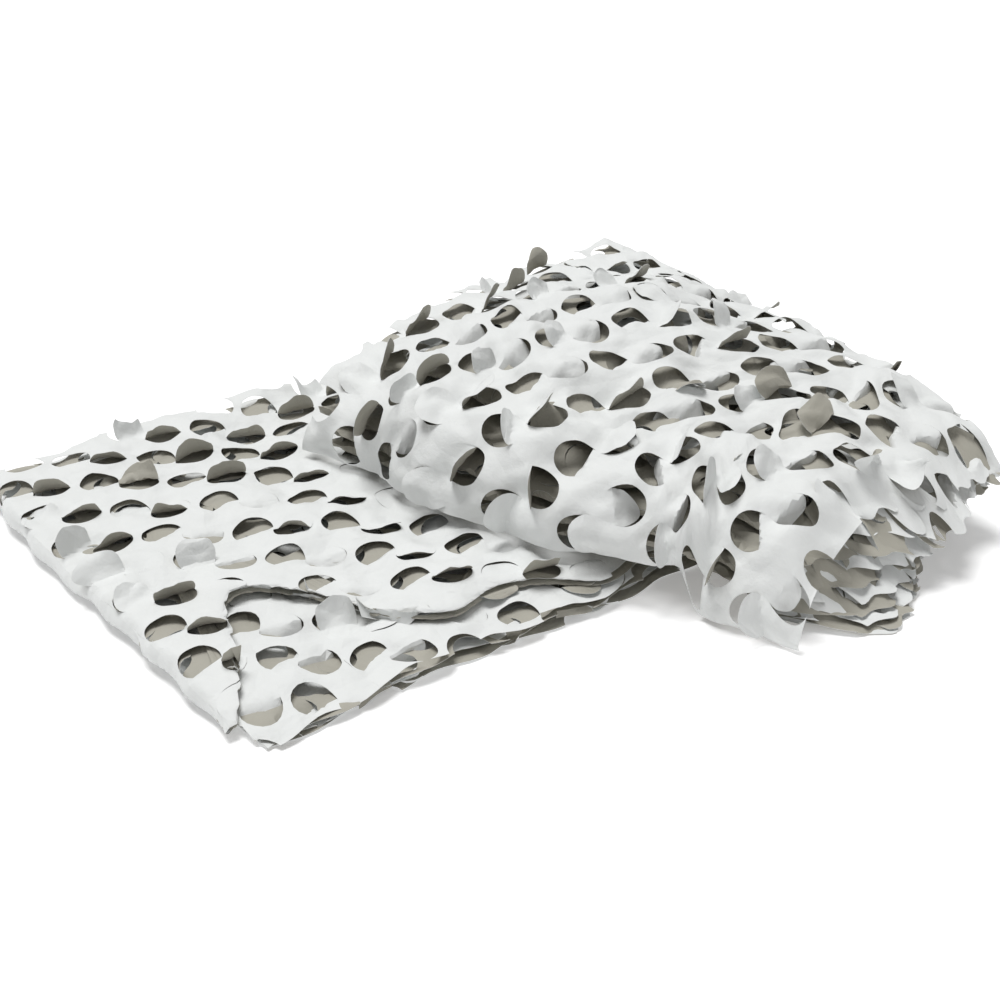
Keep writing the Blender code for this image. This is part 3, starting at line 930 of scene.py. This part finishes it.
def net_points(tile, bands, leaves):
    """Where the tile's points lie in each of the bands, and their places in the cloth.

    The web follows the surface and sinks towards each cut's middle, by a bell curve of the
    distance. A leaf leaves it at a bend line through one end of its neck: past the line its slope
    angle grows evenly over the bend length to the leaf's turn, and then slowly by its curl.
    Forward and rise are the sums of the slope's cosine and sine. The rise is held to the room on
    that side as room * tanh(rise / room).
    """
    band = np.array(bands)[:, None]
    cloth = np.stack(
        [tile.points[None, :, 0] + band * BAND_LENGTH, tile.points[None, :, 1] + 0 * band], axis=-1
    )
    column = tile.column[None] + BAND_COLUMNS * band
    row = tile.row[None] + 0 * band
    centre = cut_centre(column, row)
    draws = LEAF_DRAWS[column, row - CUT_ROWS[0], tile.leaf[None] + 0 * band]
    draw = LeafDraws(*np.moveaxis(draws, -1, 0))
    sign = np.where(tile.leaf == 2, -1.0, 1.0)[None, :, None]
    local = (cloth - centre) * sign
    sideways = local @ NECK_WAY - NECK_WIDTH / 2
    past_neck = local @ TIP_WAY
    is_leaf = (tile.leaf > 0)[None] & (past_neck > 0)

    # How the leaf's neck lies says how far it may turn
    neck_middle = centre + sign * NECK_WAY * NECK_WIDTH / 2
    at_neck = surface_at(neck_middle[..., 0], neck_middle[..., 1])
    facing_up = np.where(at_neck[..., WHITE_UP] < TURNED_OVER, -1.0, 1.0)
    lies_open = at_neck[..., LIES_OPEN]
    is_near = tile.leaf[None] == 2
    by_back = centre[..., 1] > STRIP_WIDTH - BACK_ROW
    lifted = (at_neck[..., NUMBER] > FALL_FROM) & (draw.kind > FALL_LIFTED)
    far_draw = np.where(lifted, leaves.lifted_draw, draw.kind)
    far_turn = leaf_turn(far_draw, draw.turn, leaves.far)
    near_draw = np.where(lifted | by_back, leaves.lifted_draw, draw.kind)
    near_turn = leaf_turn(near_draw, draw.turn, leaves.near)
    turn = np.where(is_near, near_turn, far_turn) * lies_open * facing_up
    curl = (draw.curl * 2 - 1) * LEAF_CURL * lies_open

    # The bend line, and how far past it a place is
    twist = (draw.twist * 2 - 1) * LEAF_TWIST + np.where(is_near, leaves.near_twist, 0)
    bend_way = TIP_WAY * np.cos(twist)[..., None] + NECK_WAY * np.sin(twist)[..., None]
    bend_at = NECK_WIDTH / 2 * np.abs(np.sin(twist)) + BEND_OFFSET * draw.bend
    past_bend = past_neck * np.cos(twist) + sideways * np.sin(twist) - bend_at
    past_bend = np.where(is_leaf, np.maximum(past_bend, 0), 0)
    root = cloth - (sign * bend_way) * past_bend[..., None]
    found = surface_at(root[..., 0], root[..., 1])
    place, slope_a, slope_b, white = (
        found[..., part] for part in (PLACE, ALONG, ACROSS, WHITE_WAY)
    )

    forward, rise = np.zeros_like(past_bend), np.zeros_like(past_bend)
    for step in range(BEND_STEPS):
        gone = past_bend * (step + 0.5) / BEND_STEPS
        slope = turn * np.minimum(gone / BEND_LENGTH, 1) + curl * (gone / LEAF_LENGTH) ** 2
        forward += np.cos(slope) * past_bend / BEND_STEPS
        rise += np.sin(slope) * past_bend / BEND_STEPS
    fold = FOLD_SLOPE * np.abs(sideways - FOLD_MIDDLE * (draw.fold * 2 - 1))
    hollow = np.where(draw.folded < FOLDED_SHARE, fold, CUPPING * sideways**2)
    hollow *= (draw.hollow * 2 - 1) * smooth_step(HOLLOW_GROWTH * past_bend / LEAF_LENGTH)
    leaf_creases = crease_waves(
        local[..., 0] + draw.curl,
        local[..., 1] + draw.bend,
        LEAF_CREASE_COUNT,
        LEAF_CREASE_LENGTHS,
        LEAF_SEED,
    )
    leaf_creases *= smooth_step(CREASE_GROWTH * past_bend / LEAF_LENGTH)
    rise = rise + (hollow + LEAF_CREASE * leaf_creases) * lies_open
    white_room = np.where(facing_up > 0, at_neck[..., ROOM_UP], at_neck[..., ROOM_DOWN])
    taupe_room = np.where(facing_up > 0, at_neck[..., ROOM_DOWN], at_neck[..., ROOM_UP])
    room = np.where(rise > 0, white_room, taupe_room)
    rise = room * np.tanh(rise / room)
    way = sign * bend_way
    outward = slope_a * way[..., :1] + slope_b * way[..., 1:]
    leaf_place = place + outward * forward[..., None] + white * rise[..., None]
    flush = surface_at(cloth[..., 0], cloth[..., 1])[..., PLACE]
    stands = smooth_step((lies_open - FLUSH_UNDER) / FLUSH_FADE)[..., None]
    leaf_place = flush + (leaf_place - flush) * stands

    # The web by a slit stands a little proud along each leaf's round edge
    lip = np.zeros(cloth.shape[:2])
    for which, turned in ((1, 1.0), (2, -1.0)):
        by_cut = (cloth - centre) * turned
        reach = round_reach(by_cut, 1)
        tipward = (by_cut @ TIP_WAY) / LEAF_LENGTH
        lift = LEAF_DRAWS[column, row - CUT_ROWS[0], which, LIP_DRAW]
        lift = LIP_HEIGHT[0] + (LIP_HEIGHT[1] - LIP_HEIGHT[0]) * lift
        edge = np.exp(-(((reach - LEAF_RADIUS) / LIP_REACH) ** 2)) * smooth_step(tipward)
        lip += lift * edge * (reach > LEAF_RADIUS - LIP_OUTSIDE)
    lip *= ~is_leaf * np.minimum(lies_open * LIP_FULL_FROM, 1)

    # The whole cloth is crinkled and creased, and sinks towards the cuts
    a, b = cloth[..., 0], cloth[..., 1]
    lip += CRINKLE * plane_waves(a, b, CRINKLE_COUNT, CRINKLE_LENGTHS, LEAF_SEED)
    lip += CREASE * crease_waves(a, b, CREASE_COUNT, CREASE_LENGTHS, LEAF_SEED + 1)
    from_middle = np.linalg.norm(root - centre, axis=-1)
    sink = SINK_DEPTH * np.exp(-((from_middle / SINK_REACH) ** 2))
    lip -= sink * np.clip(2 * found[..., WHITE_UP], -1, 1)
    lip *= found[..., SLACK]
    where = np.where(is_leaf[..., None], leaf_place, place) + white * lip[..., None]
    return where, cloth


# Room that the cloth keeps inside: the ground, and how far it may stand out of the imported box
GROUND_GAP = 0.0005
STAND_OUT = np.array([0.030, 0.028, 0.013])
CLOTH_THICKNESS = 0.0003
WELD_STEP = 1e-5
SHARP_FROM = math.radians(32)


def held_in(points):
    """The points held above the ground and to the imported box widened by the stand-out."""
    low = np.array(cad_box[0]) - STAND_OUT
    high = np.array(cad_box[1]) + STAND_OUT
    points = np.clip(points, low, high)
    points[:, 2] = np.maximum(points[:, 2], GROUND_GAP + CLOTH_THICKNESS)
    return points


def without_chips(faces, count):
    """The faces joined to the largest part: what the cuts free at the strip's edges falls off.

    Every point takes the lowest number among its neighbours until nothing changes.
    """
    label = np.arange(count)
    before = None
    while before is None or (label != before).any():
        before = label.copy()
        np.minimum.at(label, faces.ravel(), np.repeat(label[faces].min(axis=1), 3))
        label = label[label]
    parts, sizes = np.unique(label[faces[:, 0]], return_counts=True)
    return faces[label[faces[:, 0]] == parts[sizes.argmax()]]


def net_piece(name, tile, bands, leaves):
    """A length of the net as a closed thin sheet: a white face, a taupe face and cut edges.

    The bands' points are welded where they meet. Each face has a copy half the thickness to
    either side, along the mean of its corners' normals, and every free edge a strip between.
    """
    where, cloth = net_points(tile, bands, leaves)
    band = np.array(bands)[:, None]
    steps = np.round(tile.points / WELD_STEP).astype(np.int64)
    keys = np.stack(
        [steps[:, 0] + band * steps[:, 0].max(), steps[:, 1] + 0 * band, tile.side + 0 * band],
        axis=-1,
    ).reshape(-1, 3)
    _, first, welded = np.unique(keys, axis=0, return_index=True, return_inverse=True)
    welded = welded.reshape(-1)
    start = np.arange(len(bands))[:, None, None] * len(tile.points)
    faces = (tile.faces[None] + start).reshape(-1, 3)
    faces = without_chips(welded[faces], len(first))
    used, faces = np.unique(faces, return_inverse=True)
    faces = faces.reshape(-1, 3)
    points = held_in(where.reshape(-1, 3)[first[used]])
    cloth = cloth.reshape(-1, 2)[first[used]]

    # The white side faces along cross(across, along), so the triangles turn that way
    a, b, c = (cloth[faces[:, i]] for i in range(3))
    turning = (b[:, 0] - a[:, 0]) * (c[:, 1] - a[:, 1]) - (b[:, 1] - a[:, 1]) * (c[:, 0] - a[:, 0])
    faces[turning > 0] = faces[turning > 0][:, ::-1]
    normal = np.cross(
        points[faces[:, 1]] - points[faces[:, 0]], points[faces[:, 2]] - points[faces[:, 0]]
    )
    normals = np.stack(
        [
            np.bincount(faces.ravel(), np.repeat(normal[:, i], 3), minlength=len(points))
            for i in range(3)
        ],
        axis=1,
    )
    normals = unit(normals)
    count = len(points)
    edges = np.concatenate([faces[:, [0, 1]], faces[:, [1, 2]], faces[:, [2, 0]]])
    code = np.minimum(edges[:, 0], edges[:, 1]) * count + np.maximum(edges[:, 0], edges[:, 1])
    _, back, uses = np.unique(code, return_inverse=True, return_counts=True)
    free = edges[uses[back.reshape(-1)] == 1]
    rim = np.stack([free[:, 1], free[:, 0], free[:, 0] + count, free[:, 1] + count], axis=1)
    half = CLOTH_THICKNESS / 2
    shell = np.concatenate([points + normals * half, points - normals * half])
    corners = np.concatenate([faces.ravel(), (faces[:, ::-1] + count).ravel(), rim.ravel()])
    sizes = np.concatenate([np.full(2 * len(faces), 3), np.full(len(rim), 4)])
    mesh = bpy.data.meshes.new(name)
    mesh.vertices.add(len(shell))
    mesh.vertices.foreach_set("co", shell.astype(np.float32).ravel())
    mesh.loops.add(len(corners))
    mesh.loops.foreach_set("vertex_index", corners.astype(np.int32))
    mesh.polygons.add(len(sizes))
    mesh.polygons.foreach_set("loop_start", np.r_[0, np.cumsum(sizes)[:-1]].astype(np.int32))
    slots = np.concatenate([np.zeros(len(faces)), np.ones(len(faces)), np.zeros(len(rim))])
    mesh.polygons.foreach_set("material_index", slots.astype(np.int32))
    mesh.update(calc_edges=True)
    mesh.set_sharp_from_angle(angle=SHARP_FROM)
    uv = mesh.uv_layers.new(name="cloth_metres")
    both = np.concatenate([cloth, cloth])
    uv.uv.foreach_set("vector", both[corners].astype(np.float32).ravel())
    mesh.validate()
    piece = bpy.data.objects.new(name, mesh)
    bpy.context.scene.collection.objects.link(piece)
    mesh.materials.append(WHITE_CLOTH)
    mesh.materials.append(TAUPE_CLOTH)
    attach(piece, "root")
    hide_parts("net_sheet")
    return piece


class Socket:
    """An output socket of a material's nodes. Arithmetic on it adds Math nodes."""

    def __init__(self, tree, output=None):
        self.tree = tree
        self.output = output

    def add(self, kind, settings=None, inputs=None, output=0):
        """A new node of this kind: its settings are made first, then its inputs set or linked."""
        node = self.tree.nodes.new(kind)
        for name, value in (settings or {}).items():
            setattr(node, name, value)
        for name, value in (inputs or {}).items():
            if isinstance(value, Socket):
                self.tree.links.new(value.output, node.inputs[name])
            else:
                node.inputs[name].default_value = value
        return Socket(self.tree, node.outputs[output])

    def maths(self, operation, first, second):
        """A Math node of two sockets or numbers."""
        return self.add("ShaderNodeMath", {"operation": operation}, {0: first, 1: second})

    def __add__(self, other):
        return self.maths("ADD", self, other)

    def __radd__(self, other):
        return self.maths("ADD", other, self)

    def __sub__(self, other):
        return self.maths("SUBTRACT", self, other)

    def __rsub__(self, other):
        return self.maths("SUBTRACT", other, self)

    def __mul__(self, other):
        return self.maths("MULTIPLY", self, other)

    def __rmul__(self, other):
        return self.maths("MULTIPLY", other, self)


# Cloth: a thin matt coated weave, dyed white on one side and taupe on the other, softly crinkled
FOLD_HEADINGS = ((17.0, 9.0, 0.0), (-7.0, 15.0, 0.0), (5.0, -21.0, 0.0), (-13.0, -11.0, 0.0))
FOLD_WANDER = 1.7
CRINKLE_RELIEF, WEAVE_RELIEF, FOLD_RELIEF = 1.4, 0.18, 4.0
ROUGHNESS_LEAST, ROUGHNESS_SPREAD = 0.5, 0.2
SHEEN, SPECULAR = 0.08, 0.35
# The _SHADED colours are painted shade: darker copies of each side's colour, mixed in by patches
WHITE = (0.80, 0.813, 0.803, 1.0)
WHITE_SHADED = (0.73, 0.745, 0.735, 1.0)
TAUPE = (0.445, 0.428, 0.368, 1.0)
TAUPE_SHADED = (0.36, 0.347, 0.298, 1.0)


def cloth_material(name, colour, shaded):
    """Colour with painted shade in faint soft patches, with a crinkled and finely woven surface.
    """
    material = bpy.data.materials.new(name)
    material.use_nodes = True
    tree = material.node_tree
    shader = tree.nodes["Principled BSDF"]
    start = Socket(tree)
    cloth = start.add("ShaderNodeUVMap", {"uv_map": "cloth_metres"})

    def noise(**inputs):
        """Noise over the cloth, its features about 1 / Scale metres across."""
        return start.add("ShaderNodeTexNoise", {}, {"Vector": cloth, **inputs})

    patches = noise(Scale=28.0, Detail=3.0, Roughness=0.55)
    crinkles = noise(Scale=120.0, Detail=4.0, Roughness=0.6)
    weave = noise(Scale=900.0, Detail=2.0, Roughness=0.6)
    wander = noise(Scale=9.0, Detail=2.0)
    # Painted shade: the shaded copy of the colour is mixed in, in random soft patches
    dye_and_painted_shade = start.add(
        "ShaderNodeMix",
        {"data_type": "RGBA"},
        {"Factor": patches, "A": shaded, "B": colour},
        output=2,
    )
    tree.links.new(dye_and_painted_shade.output, shader.inputs["Base Color"])
    rough = patches * ROUGHNESS_SPREAD + ROUGHNESS_LEAST
    tree.links.new(rough.output, shader.inputs["Roughness"])
    folds = 0.0
    for heading in FOLD_HEADINGS:
        across = start.add(
            "ShaderNodeVectorMath", {"operation": "DOT_PRODUCT"}, {0: cloth, 1: heading}, "Value"
        )
        turns = across + wander * FOLD_WANDER
        folds = turns.maths("PINGPONG", turns, 0.5) + folds
    relief = crinkles * CRINKLE_RELIEF + weave * WEAVE_RELIEF + folds * FOLD_RELIEF
    bumps = {"Height": relief, "Strength": 0.55, "Distance": 0.0012}
    tree.links.new(start.add("ShaderNodeBump", {}, bumps).output, shader.inputs["Normal"])
    shader.inputs["Sheen Weight"].default_value = SHEEN
    shader.inputs["Specular IOR Level"].default_value = SPECULAR
    return material


WHITE_CLOTH = cloth_material("white_side", WHITE, WHITE_SHADED)
TAUPE_CLOTH = cloth_material("taupe_side", TAUPE, TAUPE_SHADED)


# ---------------------------------------------------------------------------- The net's lengths
# One strip, made as lengths that meet edge to edge: the lower pack's open top, the layers
# inside it, those inside the upper pack, and its top with the fall over its left side.

def layer_band(number):
    """The band in which a layer starts."""
    rows = np.nonzero(surface[:, COLUMNS // 2, NUMBER] >= number - 0.5)[0]
    return int(rows[0] * grid_step[0] / BAND_LENGTH)


first_upper, second_upper = layer_band(LAST_LOWER + 1), layer_band(TOP_UPPER - 1)
Length = namedtuple("Length", "name tile end leaves")
LENGTHS = (
    Length("net_lower_top", FINE_TILE, layer_band(1) + 1, LOWER_LEAVES),
    Length("net_lower_second", FINE_TILE, layer_band(2), LOWER_LEAVES),
    Length("net_lower_third", FINE_TILE, layer_band(3), UPPER_LEAVES),
    Length("net_lower_inside", COARSE_TILE, first_upper, UPPER_LEAVES),
    Length("net_upper_bottom", COARSE_TILE, (first_upper + second_upper) // 2, UPPER_LEAVES),
    Length("net_upper_inside", COARSE_TILE, second_upper, UPPER_LEAVES),
    Length("net_upper_second", FINE_TILE, layer_band(TOP_UPPER), UPPER_LEAVES),
    Length("net_upper_top", FINE_TILE, BANDS, UPPER_LEAVES),
)
first_band = 0
for length in LENGTHS:
    net_piece(length.name, length.tile, range(first_band, length.end), length.leaves)
    first_band = length.end


# -------------------------------------------------------------------------------- Studio
# A white floor, lit a little from below, under a bright even sky, with one wide soft light above
# and behind the left.

FLOOR_REACH = 9.0
FLOOR_GLOW = 0.22
SKY_STRENGTH = 0.37
SUN_STRENGTH = 2.38
SUN_WIDTH = math.radians(28)
SUN_PLACE = (-0.10, 0.43, 1.7)
floor_mesh = bpy.data.meshes.new("floor")
floor_corners = [
    (x * FLOOR_REACH, y * FLOOR_REACH, 0.0) for x, y in ((-1, -1), (1, -1), (1, 1), (-1, 1))
]
floor_mesh.from_pydata(floor_corners, [], [(0, 1, 2, 3)])
floor = bpy.data.objects.new("floor", floor_mesh)
bpy.context.scene.collection.objects.link(floor)
floor_material = bpy.data.materials.new("floor_white")
floor_material.use_nodes = True
floor_inputs = floor_material.node_tree.nodes["Principled BSDF"].inputs
floor_inputs["Base Color"].default_value = (0.95, 0.95, 0.95, 1.0)
floor_inputs["Roughness"].default_value = 0.9
floor_inputs["Emission Color"].default_value = (1.0, 1.0, 1.0, 1.0)
floor_inputs["Emission Strength"].default_value = FLOOR_GLOW
floor_mesh.materials.append(floor_material)

world = bpy.data.worlds.new("sky")
bpy.context.scene.world = world
world.use_nodes = True
sky_inputs = world.node_tree.nodes["Background"].inputs
sky_inputs["Color"].default_value = (1.0, 1.0, 1.0, 1.0)
sky_inputs["Strength"].default_value = SKY_STRENGTH

sun = bpy.data.objects.new("soft_light", bpy.data.lights.new("soft_light", "SUN"))
sun.data.energy = SUN_STRENGTH
sun.data.angle = SUN_WIDTH
sun.rotation_euler = Vector(SUN_PLACE).to_track_quat("Z", "Y").to_euler()
bpy.context.scene.collection.objects.link(sun)
bpy.context.scene.view_settings.view_transform = "Standard"
